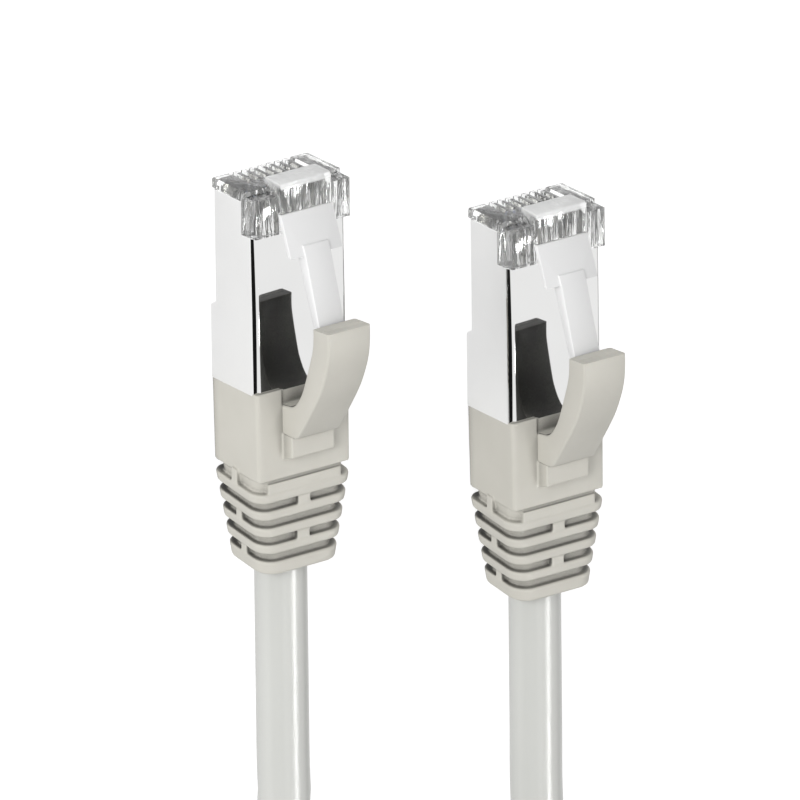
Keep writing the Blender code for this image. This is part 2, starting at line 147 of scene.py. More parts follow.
# Light. Ways point from the object; the edges of a patch are cosines of the angle from its way.
# CLEAR_SEES is the share of the world left to rays that have gone through clear plastic.
KEY_WAY = (-0.8, 0.3, 0.52)
KEY_DISTANCE = 1.2
KEY_SIZE = 0.5
KEY_POWER = 9.2
SKY_LIGHT = 0.92
SKY_SEEN = 1.27
HORIZON_BAND = (0.1, 0.2)
HORIZON_GREY = 0.03
CARD_WAY = (-0.84, -0.4, 0.36)
CARD_EDGE = (0.79, 0.81)
CARD_GREY = 0.01
LAMP_WAY = (0.37, -0.363, 0.855)
LAMP_EDGE = (0.993, 0.9965)
LAMP_GLOW = 30.0
CLEAR_SEES = 0.4
FLOOR_HALF = 1.5
FLOOR_COLOUR = (0.55, 0.55, 0.55)
FLOOR_GLOW = 0.72
FLOOR_MIRRORED = 0.5

# Cable: the given route of each lead, and the coil between them
LEAD_A = [
    (-PLUG_X, 3.0, CABLE_AXIS_Z),
    (-PLUG_X, -17.0, CABLE_AXIS_Z),
    (-PLUG_X, -37.0, CABLE_AXIS_Z),
    (-PLUG_X, -43.0, CABLE_AXIS_Z),
    (-16.9, -52.0, FLOOR_Z + 0.5),
    (-19.6, -58.0, FLOOR_Z + 0.1),
    (-23.6, -62.6, FLOOR_Z),
]
LEAD_B = [
    (22.6, -67.2, 6.9),
    (18.8, -61.6, 5.2),
    (16.3, -54.5, CABLE_AXIS_Z + 0.2),
    (PLUG_X, -49.0, CABLE_AXIS_Z),
    (PLUG_X, -42.0, CABLE_AXIS_Z),
    (PLUG_X, -28.0, CABLE_AXIS_Z),
    (PLUG_X, -7.65, CABLE_AXIS_Z),
]
COIL_CENTRE = (-3.0, -94.0)
COIL_OUTER = 36.9
COIL_INNER = 23.1
COIL_START = math.radians(135)
COIL_TURNS = 4.75
COIL_LOW = FLOOR_Z + 0.8
COIL_HIGH = COIL_LOW + 2 * CABLE_RADIUS + 0.05
CLIMB_TURNS = 0.25
LEAD_IN_TURNS = 0.3
LEAD_OUT_TURNS = 0.12
LEAD_OUT_DROP = 1.7
STRAP_THICKNESS = 0.45
STRAP_CORNER = 3.2
STRAP_EDGE = 0.1


# ---------------------------------------------------------------- camera and light


def add_camera():
    back = Vector(VIEW_BACK).normalized()
    right = Vector(VIEW_UP).cross(back).normalized()
    up = back.cross(right)
    turn = Matrix((right, up, back)).transposed().to_4x4()
    camera = bpy.data.objects.new("camera", bpy.data.cameras.new("camera"))
    camera.data.lens = LENS
    camera.data.sensor_width = 36.0
    camera.data.clip_end = 50.0
    camera.matrix_world = Matrix.Translation((Vector(TARGET) + back * CAMERA_DISTANCE) * MM) @ turn
    bpy.context.scene.collection.objects.link(camera)
    bpy.context.scene.camera = camera


def add_key():
    """The soft key light, high on the left and a little toward the noses."""
    light = bpy.data.lights.new("key", "AREA")
    light.shape = "SQUARE"
    light.size = KEY_SIZE
    light.energy = KEY_POWER
    obj = bpy.data.objects.new("key", light)
    way = Vector(KEY_WAY).normalized()
    turn = way.to_track_quat("Z", "Y").to_matrix().to_4x4()
    obj.matrix_world = Matrix.Translation(way * KEY_DISTANCE) @ turn
    obj.visible_glossy = False
    bpy.context.scene.collection.objects.link(obj)


class World:
    """The studio all round: an even light, and what polished and clear faces see of it."""

    def __init__(self):
        self.world = bpy.data.worlds.new("studio")
        bpy.context.scene.world = self.world
        self.world.use_nodes = True
        self.nodes, self.links = self.world.node_tree.nodes, self.world.node_tree.links
        self.nodes.clear()
        self.way = self.nodes.new("ShaderNodeTexCoord").outputs["Generated"]

    def maths(self, operation, first, second):
        node = self.nodes.new("ShaderNodeMath")
        node.operation = operation
        self.links.new(first, node.inputs[0])
        self.links.new(second, node.inputs[1])
        return node.outputs[0]

    def toward(self, way):
        """How nearly a ray points along the way: 1 when it does."""
        node = self.nodes.new("ShaderNodeVectorMath")
        node.operation = "DOT_PRODUCT"
        self.links.new(self.way, node.inputs[0])
        node.inputs[1].default_value = Vector(way).normalized()
        return node.outputs["Value"]

    def step(self, value, low, high, at_low, at_high):
        span = self.nodes.new("ShaderNodeMapRange")
        span.inputs["From Min"].default_value = low
        span.inputs["From Max"].default_value = high
        span.inputs["To Min"].default_value = at_low
        span.inputs["To Max"].default_value = at_high
        self.links.new(value, span.inputs["Value"])
        return span.outputs[0]

    def build(self):
        height = self.toward((0, 0, 1))
        sky = self.step(height, *HORIZON_BAND, HORIZON_GREY, SKY_SEEN)
        card = self.step(self.toward(CARD_WAY), *CARD_EDGE, 1.0, CARD_GREY)
        lamp = self.step(self.toward(LAMP_WAY), *LAMP_EDGE, 0.0, LAMP_GLOW)
        path = self.nodes.new("ShaderNodeLightPath")
        glossy, depth = path.outputs["Is Glossy Ray"], path.outputs["Transmission Depth"]
        outside = self.step(depth, 0.0, 1.0, 1.0, 0.0)
        lamp = self.maths("MULTIPLY", lamp, self.maths("MULTIPLY", glossy, outside))
        dimmed = self.step(depth, 0.0, 1.0, 1.0, CLEAR_SEES)
        studio = self.maths("MULTIPLY", self.maths("MULTIPLY", sky, card), dimmed)
        seen = self.maths("ADD", studio, lamp)
        polished = self.maths("MAXIMUM", glossy, path.outputs["Is Transmission Ray"])
        mix = self.nodes.new("ShaderNodeMix")
        self.links.new(polished, mix.inputs["Factor"])
        mix.inputs["A"].default_value = SKY_LIGHT
        self.links.new(seen, mix.inputs["B"])
        background = self.nodes.new("ShaderNodeBackground")
        self.links.new(mix.outputs["Result"], background.inputs["Strength"])
        out = self.nodes.new("ShaderNodeOutputWorld")
        self.links.new(background.outputs[0], out.inputs[0])


def add_floor():
    points = [(x, y, 0) for x, y in ((-1, -1), (1, -1), (1, 1), (-1, 1))]
    mesh = bpy.data.meshes.new("floor")
    mesh.from_pydata([tuple(c * FLOOR_HALF for c in p) for p in points], [], [(0, 1, 2, 3)])
    floor = bpy.data.objects.new("floor", mesh)
    bpy.context.scene.collection.objects.link(floor)
    shader = Shader("floor_white", FLOOR_COLOUR, 0.9)
    shader.set("Specular IOR Level", 0.1)
    shader.set("Emission Color", (1, 1, 1, 1))
    path = shader.nodes.new("ShaderNodeLightPath")
    strength = None
    glows = {"Camera": FLOOR_GLOW, "Glossy": FLOOR_MIRRORED, "Transmission": FLOOR_MIRRORED}
    for ray, glow in glows.items():
        share = shader.nodes.new("ShaderNodeMath")
        share.operation = "MULTIPLY_ADD"
        shader.links.new(path.outputs[f"Is {ray} Ray"], share.inputs[0])
        share.inputs[1].default_value = glow
        share.inputs[2].default_value = 0.0
        if strength:
            shader.links.new(strength, share.inputs[2])
        strength = share.outputs[0]
    shader.links.new(strength, shader.bsdf.inputs["Emission Strength"])
    mesh.materials.append(shader.material)


# ---------------------------------------------------------------- materials


class Shader:
    """A node material that is built up in a few calls."""

    def __init__(self, name, colour, roughness, metallic=0.0):
        self.material = bpy.data.materials.new(name)
        self.material.use_nodes = True
        self.nodes = self.material.node_tree.nodes
        self.links = self.material.node_tree.links
        self.bsdf = self.nodes["Principled BSDF"]
        self.set("Base Color", (*colour, 1.0))
        self.set("Roughness", roughness)
        self.set("Metallic", metallic)

    def set(self, socket, value):
        self.bsdf.inputs[socket].default_value = value
        return self

    def noise(self, scale, detail, stretch=(1, 1, 1)):
        place = self.nodes.new("ShaderNodeTexCoord")
        mapping = self.nodes.new("ShaderNodeMapping")
        mapping.inputs["Scale"].default_value = stretch
        noise = self.nodes.new("ShaderNodeTexNoise")
        noise.inputs["Scale"].default_value = scale
        noise.inputs["Detail"].default_value = detail
        noise.inputs["Roughness"].default_value = 0.5
        self.links.new(place.outputs["Object"], mapping.inputs[0])
        self.links.new(mapping.outputs[0], noise.inputs["Vector"])
        return noise.outputs["Fac"]

    def vary_colour(self, factor, first, second, low=0.3, high=0.7):
        ramp = self.nodes.new("ShaderNodeValToRGB")
        ramp.color_ramp.elements[0].position = low
        ramp.color_ramp.elements[0].color = (*first, 1)
        ramp.color_ramp.elements[1].position = high
        ramp.color_ramp.elements[1].color = (*second, 1)
        self.links.new(factor, ramp.inputs[0])
        self.links.new(ramp.outputs["Color"], self.bsdf.inputs["Base Color"])
        return self

    def paint_occlusion_shade(self, reach, shut, open_, darkest, only=None):
        """Paint shade into the colour where the surface is hemmed in within the reach, or `only` on faces so
        marked: painted ambient shade.
        """
        colour = self.bsdf.inputs["Base Color"].links[0].from_socket
        near = self.nodes.new("ShaderNodeAmbientOcclusion")
        near.inputs["Distance"].default_value = reach
        near.samples = 8
        span = self.nodes.new("ShaderNodeMapRange")
        span.inputs["From Min"].default_value = shut
        span.inputs["From Max"].default_value = open_
        span.inputs["To Min"].default_value = darkest
        self.links.new(near.outputs["AO"], span.inputs["Value"])
        share = span.outputs[0]
        if only:
            marked = self.nodes.new("ShaderNodeAttribute")
            marked.attribute_name = only
            mix = self.nodes.new("ShaderNodeMix")
            self.links.new(marked.outputs["Fac"], mix.inputs["Factor"])
            mix.inputs["A"].default_value = 1.0
            self.links.new(share, mix.inputs["B"])
            share = mix.outputs["Result"]
        scale = self.nodes.new("ShaderNodeVectorMath")
        scale.operation = "SCALE"
        self.links.new(colour, scale.inputs[0])
        self.links.new(share, scale.inputs["Scale"])
        self.links.new(scale.outputs[0], self.bsdf.inputs["Base Color"])
        return self

    def paint_dark_reflection(self, share, but):
        """Paint the colour darker, to this share, where it is seen in a reflection, except on faces marked
        `but`: a painted dark reflection.
        """
        colour = self.bsdf.inputs["Base Color"].links[0].from_socket
        path = self.nodes.new("ShaderNodeLightPath")
        marked = self.nodes.new("ShaderNodeAttribute")
        marked.attribute_name = but
        left = self.nodes.new("ShaderNodeMath")
        left.operation = "SUBTRACT"
        left.use_clamp = True
        self.links.new(path.outputs["Is Glossy Ray"], left.inputs[0])
        self.links.new(marked.outputs["Fac"], left.inputs[1])
        span = self.nodes.new("ShaderNodeMapRange")
        span.inputs["To Min"].default_value = 1.0
        span.inputs["To Max"].default_value = share
        self.links.new(left.outputs[0], span.inputs["Value"])
        scale = self.nodes.new("ShaderNodeVectorMath")
        scale.operation = "SCALE"
        self.links.new(colour, scale.inputs[0])
        self.links.new(span.outputs[0], scale.inputs["Scale"])
        self.links.new(scale.outputs[0], self.bsdf.inputs["Base Color"])
        return self

    def vary_roughness(self, factor, low, high):
        span = self.nodes.new("ShaderNodeMapRange")
        span.inputs["To Min"].default_value = low
        span.inputs["To Max"].default_value = high
        self.links.new(factor, span.inputs["Value"])
        self.links.new(span.outputs[0], self.bsdf.inputs["Roughness"])
        return self

    def bump(self, height, strength, distance):
        bump = self.nodes.new("ShaderNodeBump")
        bump.inputs["Strength"].default_value = strength
        bump.inputs["Distance"].default_value = distance
        self.links.new(height, bump.inputs["Height"])
        self.links.new(bump.outputs[0], self.bsdf.inputs["Normal"])
        return self


def boot_material(name, shade, mirrored=1.0):
    shader = Shader(name, (0.53, 0.515, 0.465), 0.5)
    shader.vary_colour(shader.noise(260, 2), (0.52, 0.505, 0.455), (0.54, 0.525, 0.475))
    # Painted shade darkens hollows and creases; where asked, the finger also gets a painted dark reflection
    shader.paint_occlusion_shade(*shade)
    if mirrored < 1.0:
        shader.paint_dark_reflection(mirrored, "inner")
    shader.vary_roughness(shader.noise(900, 2), 0.42, 0.58)
    shader.bump(shader.noise(5200, 2), 0.12, 0.00004)
    return shader.material


def jacket_material():
    shader = Shader("jacket_pvc", (0.55, 0.555, 0.53), 0.3)
    shader.vary_colour(shader.noise(220, 2, (1, 0.2, 1)), (0.54, 0.545, 0.52), (0.56, 0.565, 0.54))
    shader.set("Specular IOR Level", 0.7)
    shader.vary_roughness(shader.noise(700, 2), 0.28, 0.33)
    shader.bump(shader.noise(3000, 2), 0.05, 0.00003)
    return shader.material


def shield_material():
    shader = Shader("nickel", (0.79, 0.79, 0.785), 0.05, 1.0)
    shader.vary_colour(shader.noise(150, 2), (0.78, 0.78, 0.775), (0.8, 0.8, 0.795))
    shader.vary_roughness(shader.noise(420, 3, (1, 0.15, 1)), 0.02, 0.045)
    shader.bump(shader.noise(160, 2), 0.01, 0.00003)
    return shader.material


def clear_material(milky=False):
    """Clear plastic, milky where the mesh's milk attribute says so."""
    shader = Shader("clear_polycarbonate", (0.97, 0.975, 0.97), 0.03)
    shader.set("Transmission Weight", 0.95).set("IOR", 1.585)
    shader.set("Specular IOR Level", 0.12)
    if milky:
        milk = shader.nodes.new("ShaderNodeAttribute")
        milk.attribute_name = "milk"
        clear = shader.nodes.new("ShaderNodeMapRange")
        clear.inputs["To Min"].default_value = 0.95
        clear.inputs["To Max"].default_value = 0.35
        shader.links.new(milk.outputs["Fac"], clear.inputs["Value"])
        shader.links.new(clear.outputs[0], shader.bsdf.inputs["Transmission Weight"])
    shader.bump(shader.noise(1300, 2, (1, 0.12, 0.6)), 0.5, 0.0003)
    return shader.material


def latch_material():
    shader = Shader("milky_polycarbonate", (0.83, 0.83, 0.83), 0.22)
    shader.set("Transmission Weight", 0.15).set("IOR", 1.585)
    # Painted light: the latch's side faces get a lighter colour than the rest
    lit_flank = shader.nodes.new("ShaderNodeAttribute")
    lit_flank.attribute_name = "lit_flank"
    shader.vary_colour(lit_flank.outputs["Fac"], (0.78, 0.78, 0.78), (0.95, 0.95, 0.95))
    shader.vary_roughness(shader.noise(600, 2), 0.16, 0.3)
    return shader.material


def strap_material():
    shader = Shader("strap_weave", (0.03, 0.03, 0.032), 0.8)
    shader.vary_colour(shader.noise(2500, 2), (0.02, 0.02, 0.022), (0.05, 0.05, 0.052))
    shader.set("Sheen Weight", 0.3)
    shader.bump(shader.noise(3500, 2), 0.5, 0.0001)
    return shader.material


def metal_material(name, colour, roughness):
    shader = Shader(name, colour, roughness, 1.0)
    shader.vary_roughness(shader.noise(900, 2), roughness * 0.8, roughness * 1.3)
    shader.bump(shader.noise(1500, 2), 0.05, 0.00003)
    return shader.material


def wire_material(name, colour, stripe=None):
    shader = Shader(name, colour, 0.35)
    if stripe:
        shader.vary_colour(shader.noise(700, 0, (1, 0.3, 1)), colour, stripe, 0.5, 0.53)
    else:
        shader.vary_colour(shader.noise(900, 2), colour, tuple(c * 0.88 for c in colour))
    return shader.material


# ---------------------------------------------------------------- mesh tools


def new_mesh(name, points, faces):
    """An object from points in millimetres, its faces turned outward."""
    volume = 0.0
    for face in faces:
        a = np.array(points[face[0]])
        for i in range(1, len(face) - 1):
            volume += np.dot(a, np.cross(points[face[i]], points[face[i + 1]]))
    if volume < 0:
        faces = [tuple(reversed(face)) for face in faces]
    mesh = bpy.data.meshes.new(name)
    mesh.from_pydata([tuple(np.array(p) * MM) for p in points], [], faces)
    mesh.validate()
    obj = bpy.data.objects.new(name, mesh)
    bpy.context.scene.collection.objects.link(obj)
    return obj


def loft(name, rings):
    count = len(rings[0])
    points = [p for ring in rings for p in ring]
    faces = [tuple(reversed(range(count)))]
    for level in range(len(rings) - 1):
        low = level * count
        for i in range(count):
            j = (i + 1) % count
            faces.append((low + i, low + j, low + count + j, low + count + i))
    last = (len(rings) - 1) * count
    faces.append(tuple(range(last, last + count)))
    return new_mesh(name, points, faces)


def box(name, x0, x1, y0, y1, z0, z1):
    rings = [[(x, y0, z0), (x, y1, z0), (x, y1, z1), (x, y0, z1)] for x in (x0, x1)]
    return loft(name, rings)


def prism_x(name, profile, half, centre=0.0):
    return loft(name, [[(centre + side * half, y, z) for y, z in profile] for side in (-1, 1)])


def rounded(half, z0, z1, radius, y, segments=6):
    points = []
    corners = ((half, z0, -90), (half, z1, 0), (-half, z1, 90), (-half, z0, 180))
    for cx, cz, start in corners:
        ox = cx - math.copysign(radius, cx)
        oz = cz + radius if cz == z0 else cz - radius
        for step in range(segments + 1):
            angle = math.radians(start + 90 * step / segments)
            points.append((ox + radius * math.cos(angle), y, oz + radius * math.sin(angle)))
    return points


def settle(obj):
    """Apply the object's modifiers to its mesh."""
    graph = bpy.context.evaluated_depsgraph_get()
    mesh = bpy.data.meshes.new_from_object(obj.evaluated_get(graph))
    obj.modifiers.clear()
    old = obj.data
    obj.data = mesh
    bpy.data.meshes.remove(old)
    return obj


def boolean(obj, operation, tools):
    for tool in tools:
        modifier = obj.modifiers.new("cut", "BOOLEAN")
        modifier.operation = operation
        modifier.solver = "EXACT"
        modifier.object = tool
    settle(obj)
    for tool in tools:
        bpy.data.objects.remove(tool, do_unlink=True)
    return obj


def bevel(obj, width, segments=2, angle=30):
    modifier = obj.modifiers.new("bevel", "BEVEL")
    modifier.width = width * MM
    modifier.segments = segments
    modifier.limit_method = "ANGLE"
    modifier.angle_limit = math.radians(angle)
    modifier.harden_normals = False
    return settle(obj)


def join(name, objects):
    """One object from several, their meshes laid together."""
    points, faces, start = [], [], 0
    for obj in objects:
        points += [tuple(v.co) for v in obj.data.vertices]
        faces += [tuple(start + i for i in p.vertices) for p in obj.data.polygons]
        start += len(obj.data.vertices)
        bpy.data.objects.remove(obj, do_unlink=True)
    mesh = bpy.data.meshes.new(name)
    mesh.from_pydata(points, [], faces)
    obj = bpy.data.objects.new(name, mesh)
    bpy.context.scene.collection.objects.link(obj)
    return obj


def melt(obj, voxel, rounds, keep):
    """Run overlapping solids together as one moulding with soft edges."""
    modifier = obj.modifiers.new("skin", "REMESH")
    modifier.mode = "VOXEL"
    modifier.voxel_size = voxel * MM
    modifier.use_smooth_shade = True
    smooth = obj.modifiers.new("soften", "SMOOTH")
    smooth.factor = 0.5
    smooth.iterations = rounds
    thin = obj.modifiers.new("thin", "DECIMATE")
    thin.ratio = keep
    settle(obj)
    obj.data.shade_smooth()
    return obj


def shade(obj, angle=35):
    obj.data.shade_smooth()
    obj.data.set_sharp_from_angle(angle=math.radians(angle))
    return obj


def smooth_line(points, count):
    """A Catmull-Rom line through the points, read at even steps."""
    route = np.array(points, float)
    ends = np.vstack([2 * route[0] - route[1], route, 2 * route[-1] - route[-2]])
    dense = []
    for i in range(len(route) - 1):
        a, b, c, d = ends[i : i + 4]
        for t in np.linspace(0, 1, 40, endpoint=False):
            square, cube = (2 * a - 5 * b + 4 * c - d) * t**2, (3 * b - a - 3 * c + d) * t**3
            dense.append(0.5 * (2 * b + (c - a) * t + square + cube))
    dense.append(route[-1])
    dense = np.array(dense)
    run = np.concatenate([[0], np.cumsum(np.linalg.norm(np.diff(dense, axis=0), axis=1))])
    at = np.linspace(0, run[-1], count)
    return np.stack([np.interp(at, run, dense[:, k]) for k in range(dense.shape[1])], axis=1)


def put(shape, name, tag, material):
    """A copy of a shape at plug `tag`, with its material."""
    mesh = shape.data.copy()
    mesh.transform(Matrix.Translation(PLACES[tag]))
    mesh.materials.clear()
    mesh.materials.append(material)
    obj = bpy.data.objects.new(f"{name}_{tag}", mesh)
    bpy.context.scene.collection.objects.link(obj)
    return obj


# ---------------------------------------------------------------- cable


def coil_points():
    """Turns wound inward on the surface, then outward on top of those."""
    steps = 40
    total = int(COIL_TURNS * steps)
    points = []
    for i in range(total + 1):
        share = i / total
        angle = COIL_START + 2 * math.pi * COIL_TURNS * share
        inward = 1 - abs(2 * share - 1)
        radius = COIL_OUTER - (COIL_OUTER - COIL_INNER) * inward
        climb = min(max((share - 0.5) * COIL_TURNS / CLIMB_TURNS + 0.5, 0), 1)
        climb = climb * climb * (3 - 2 * climb)
        height = COIL_LOW + (COIL_HIGH - COIL_LOW) * climb
        turned_in = min(share * COIL_TURNS / LEAD_IN_TURNS, 1)
        height += (FLOOR_Z - COIL_LOW) * (1 - turned_in)
        turned_out = min((1 - share) * COIL_TURNS / LEAD_OUT_TURNS, 1)
        height -= (1 - turned_out) * LEAD_OUT_DROP
        x = COIL_CENTRE[0] + radius * math.cos(angle)
        y = COIL_CENTRE[1] + radius * math.sin(angle)
        points.append((x, y, height))
    return points


def cable_piece(jacket):
    line = [tuple(p) for p in smooth_line(LEAD_A, 30)]
    line += coil_points()
    line += [tuple(p) for p in smooth_line(LEAD_B, 30)]
    curve = bpy.data.curves.new("cable", "CURVE")
    curve.dimensions = "3D"
    curve.bevel_depth = CABLE_RADIUS * MM
    curve.bevel_resolution = 8
    curve.use_fill_caps = True
    spline = curve.splines.new("POLY")
    spline.points.add(len(line) - 1)
    for point, at in zip(spline.points, line):
        point.co = (at[0] * MM, at[1] * MM, at[2] * MM, 1.0)
    spline.use_smooth = True
    curve.materials.append(jacket)
    cable = bpy.data.objects.new("cable", curve)
    bpy.context.scene.collection.objects.link(cable)
    return cable


def strap_piece(strap):
    """A flat loop round one side of the coil, in the box that its CAD solid holds."""
    low, high = (np.array(corner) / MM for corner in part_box("coil_tie"))
    middle = (low + high) / 2
    across = (high[1] - low[1]) / 2
    up = (high[2] - low[2]) / 2
    wide = (high[0] - low[0]) / 2
    rings = []
    edge = STRAP_EDGE
    for x, inset in ((-wide, edge), (-wide + edge, 0), (wide - edge, 0), (wide, edge)):
        ring = rounded(across - inset, -up + inset, up - inset, STRAP_CORNER, 0, 8)
        rings.append([(middle[0] + x, middle[1] + a, middle[2] + c) for a, _, c in ring])
    hole_rings = []
    thick = STRAP_THICKNESS
    for x in (-wide - 1, wide + 1):
        ring = rounded(across - thick, -up + thick, up - thick, STRAP_CORNER - 0.3, 0, 8)
        hole_rings.append([(middle[0] + x, middle[1] + a, middle[2] + c) for a, _, c in ring])
    tie = boolean(loft("coil_strap", rings), "DIFFERENCE", [loft("hole", hole_rings)])
    shade(tie)
    tie.data.materials.append(strap)
    return tie


def add_cable(jacket, strap):
    cable = cable_piece(jacket)
    tie = strap_piece(strap)
    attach(tie, "cable")
    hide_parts("coil_tie")
    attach(cable, "cable")
    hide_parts("cable_lead_a", "cable_lead_b", "cable_coil")


# ---------------------------------------------------------------- plug


def slot_x(index):
    return (index - (CONTACTS - 1) / 2) * CONTACT_PITCH


def housing_shape():
    half = PLUG_WIDTH / 2
    inner = half - 0.4
    low, high = SOLE + 0.4, PLUG_TOP - 0.65
    body = box("housing", -inner, inner, HOUSING_END, -1.0, low, high)
    plate = [
        (-0.35, SOLE),
        (-0.1, SOLE + 0.1),
        (0, SOLE + 0.35),
        (0, NOSE_TOP),
        (NOSE_BACK, NOSE_TOP),
        (NOSE_BACK, SOLE),
    ]
    nose = prism_x("nose", plate, half)
    block = [
        (CORNER_FRONT, NOSE_TOP - 0.75),
        (CORNER_FRONT, PLUG_TOP + 0.45),
        (CORNER_BACK, PLUG_TOP + 0.45),
        (CORNER_BACK, NOSE_TOP - 0.75),
    ]
    # The two points on the root's flat top keep the milky part's edge narrow
    root = [
        (ROOT_REACH, ROOT_BOTTOM),
        (ROOT_REACH, ROOT_TOP - 0.4),
        (ROOT_REACH - 0.1, ROOT_TOP - 0.15),
        (ROOT_REACH - 0.35, ROOT_TOP),
        (MILKY_FROM + 0.1, ROOT_TOP),
        (MILKY_FROM - 0.1, ROOT_TOP),
        (ROOT_BACK, ROOT_TOP),
        (ROOT_BACK, ROOT_BOTTOM),
    ]
    tools = [nose, prism_x("block", block, half), prism_x("root", root, ROOT_HALF)]
    boolean(body, "UNION", tools)
    cuts = [
        box("tunnel", -4.15, 4.15, -9.6, -5.0, SOLE + 3.35, SOLE + 4.55),
        box("pocket", -4.85, 4.85, -21.4, -8.6, SOLE + 2.3, SOLE + 5.6),
    ]
    for i in range(CONTACTS):
        x = slot_x(i)
        cuts.append(box("slot", x - SLOT_HALF, x + SLOT_HALF, -6.4, 1.0, SOLE - 1, SOLE + 3.4))
    boolean(body, "DIFFERENCE", cuts)
    bevel(body, 0.09, 2)
    milk = body.data.attributes.new("milk", "FLOAT", "POINT")
    for value, vertex in zip(milk.data, body.data.vertices):
        value.value = float(vertex.co.y > MILKY_FROM * MM)
    return shade(body)


def latch_shape():
    t = PLUG_TOP
    plate = [
        (LATCH_START, t + 0.5),
        (LATCH_START, t + 1.15),
        (PLATE_END, t + 2.8),
        (PLATE_END, t + 2.17),
    ]
    lever = prism_x("latch", plate, PLATE_HALF)
    arm = [
        (-5.5, t + 1.95),
        (-5.6, t + 2.65),
        (PLATE_END, t + 3.1),
        (-13.65, t + 5.25),
        (-13.95, t + 5.0),
        (-13.95, t + 4.25),
        (-7.15, t + 1.7),
        (-6.3, t + 2.2),
    ]
    boolean(lever, "UNION", [prism_x("arm", arm, ARM_HALF)])
    bevel(lever, 0.12, 2)
    # Side faces, marked for the latch's painted light
    lit_flank = lever.data.attributes.new("lit_flank", "FLOAT", "FACE")
    for value, face in zip(lit_flank.data, lever.data.polygons):
        value.value = float(abs(face.normal.x) > 0.5)
    return shade(lever)


def shield_shape():
    half = PLUG_WIDTH / 2
    front_bottom, rear_bottom = SOLE - 0.1, 0.0
    front_drop, rear_drop = SHIELD_DROP

    def tube(name, front, step, end, inset):
        stations = [
            (front, front_bottom, front_drop),
            (SHIELD_STEP[0] - step, front_bottom, rear_drop),
            (SHIELD_STEP[1] - step, rear_bottom, rear_drop),
            (end, rear_bottom, rear_drop),
        ]
        rings = []
        for y, bottom, drop in stations:
            top = PLUG_TOP - drop - inset
            rings.append(rounded(half - inset, bottom + inset, top, SHIELD_CORNER - inset, y))
        return loft(name, rings)

    outer = tube("shield", SHIELD_FRONT, 0.0, SHIELD_END, 0)
    inner = tube("inner", 0, 0.2, SHIELD_END - 0.2, SHIELD_WALL)
    latch_cut = box("latch_cut", -half - 1, half + 1, SHIELD_NOTCH_END, 1, SOLE + 5.0, PLUG_TOP + 1)
    contact_cut = box("contact_cut", -half + 0.9, half - 0.9, CONTACT_OPENING_END, 1, -1, SOLE + 1)
    boolean(outer, "DIFFERENCE", [inner, latch_cut, contact_cut])
    bevel(outer, 0.06, 2, 50)
    return shade(outer)


def relief_section(behind, inset=0.0):
    """The strain relief's outline at a distance behind the square block."""
    share = behind / (BOOT_SQUARE_END - BOOT_END)
    tapers = (RELIEF_W, RELIEF_T, RELIEF_CORNER)
    half_w, half_t, corner = (first + share * (last - first) for first, last in tapers)
    low, high = RELIEF_AXIS_Z - half_t + inset, RELIEF_AXIS_Z + half_t - inset
    y = BOOT_SQUARE_END - behind
    return leaning(rounded(half_w - inset, low, high, corner - inset / 2, y, 8), RELIEF_LEAN)


def leaning(points, lean):
    """The points with those on the sole side carried toward the nose."""
    return [(x, y + lean * (PLUG_TOP - z), z) for x, y, z in points]


def relief_ring(near, far):
    edge = RING_EDGE
    sections = ((near, edge), (near + edge, 0.0), (far - edge, 0.0), (far, edge))
    return loft("ring", [relief_section(behind, inset) for behind, inset in sections])


def relief_bridge(level, near, far):
    reach = np.array(relief_section(far, BRIDGE_INSET))
    half_w = reach[:, 0].max()
    low, high = reach[:, 2].min(), reach[:, 2].max()
    if level % 2:
        half = BRIDGE_HALF
    else:
        half, low, high = half_w, RELIEF_AXIS_Z - SIDE_BRIDGE_HALF, RELIEF_AXIS_Z + SIDE_BRIDGE_HALF
    y0, y1 = BOOT_SQUARE_END - far, BOOT_SQUARE_END - near
    rings = [[(x, y0, low), (x, y1, low), (x, y1, high), (x, y0, high)] for x in (-half, half)]
    return loft("bridge", [leaning(ring, RELIEF_LEAN) for ring in rings])


def boot_block():
    """The square block, with the notch at the finger's foot."""
    front, rear = (
        rounded(half, sole, top, BLOCK_CORNER, y)
        for half, sole, top, y in zip(BLOCK_HALF, BLOCK_SOLE, BLOCK_TOP, (BOOT_FRONT, BOOT_SQUARE_END))
    )
    block = loft("square", [front, leaning(rear, BLOCK_LEAN)])
    notch_y = (BOOT_FRONT - NOTCH_LENGTH, BOOT_FRONT + 1)
    notch = box("notch", -PAD_HALF, PAD_HALF, *notch_y, PLUG_TOP - NOTCH_DEPTH, PLUG_TOP + 1)
    return boolean(block, "DIFFERENCE", [notch])


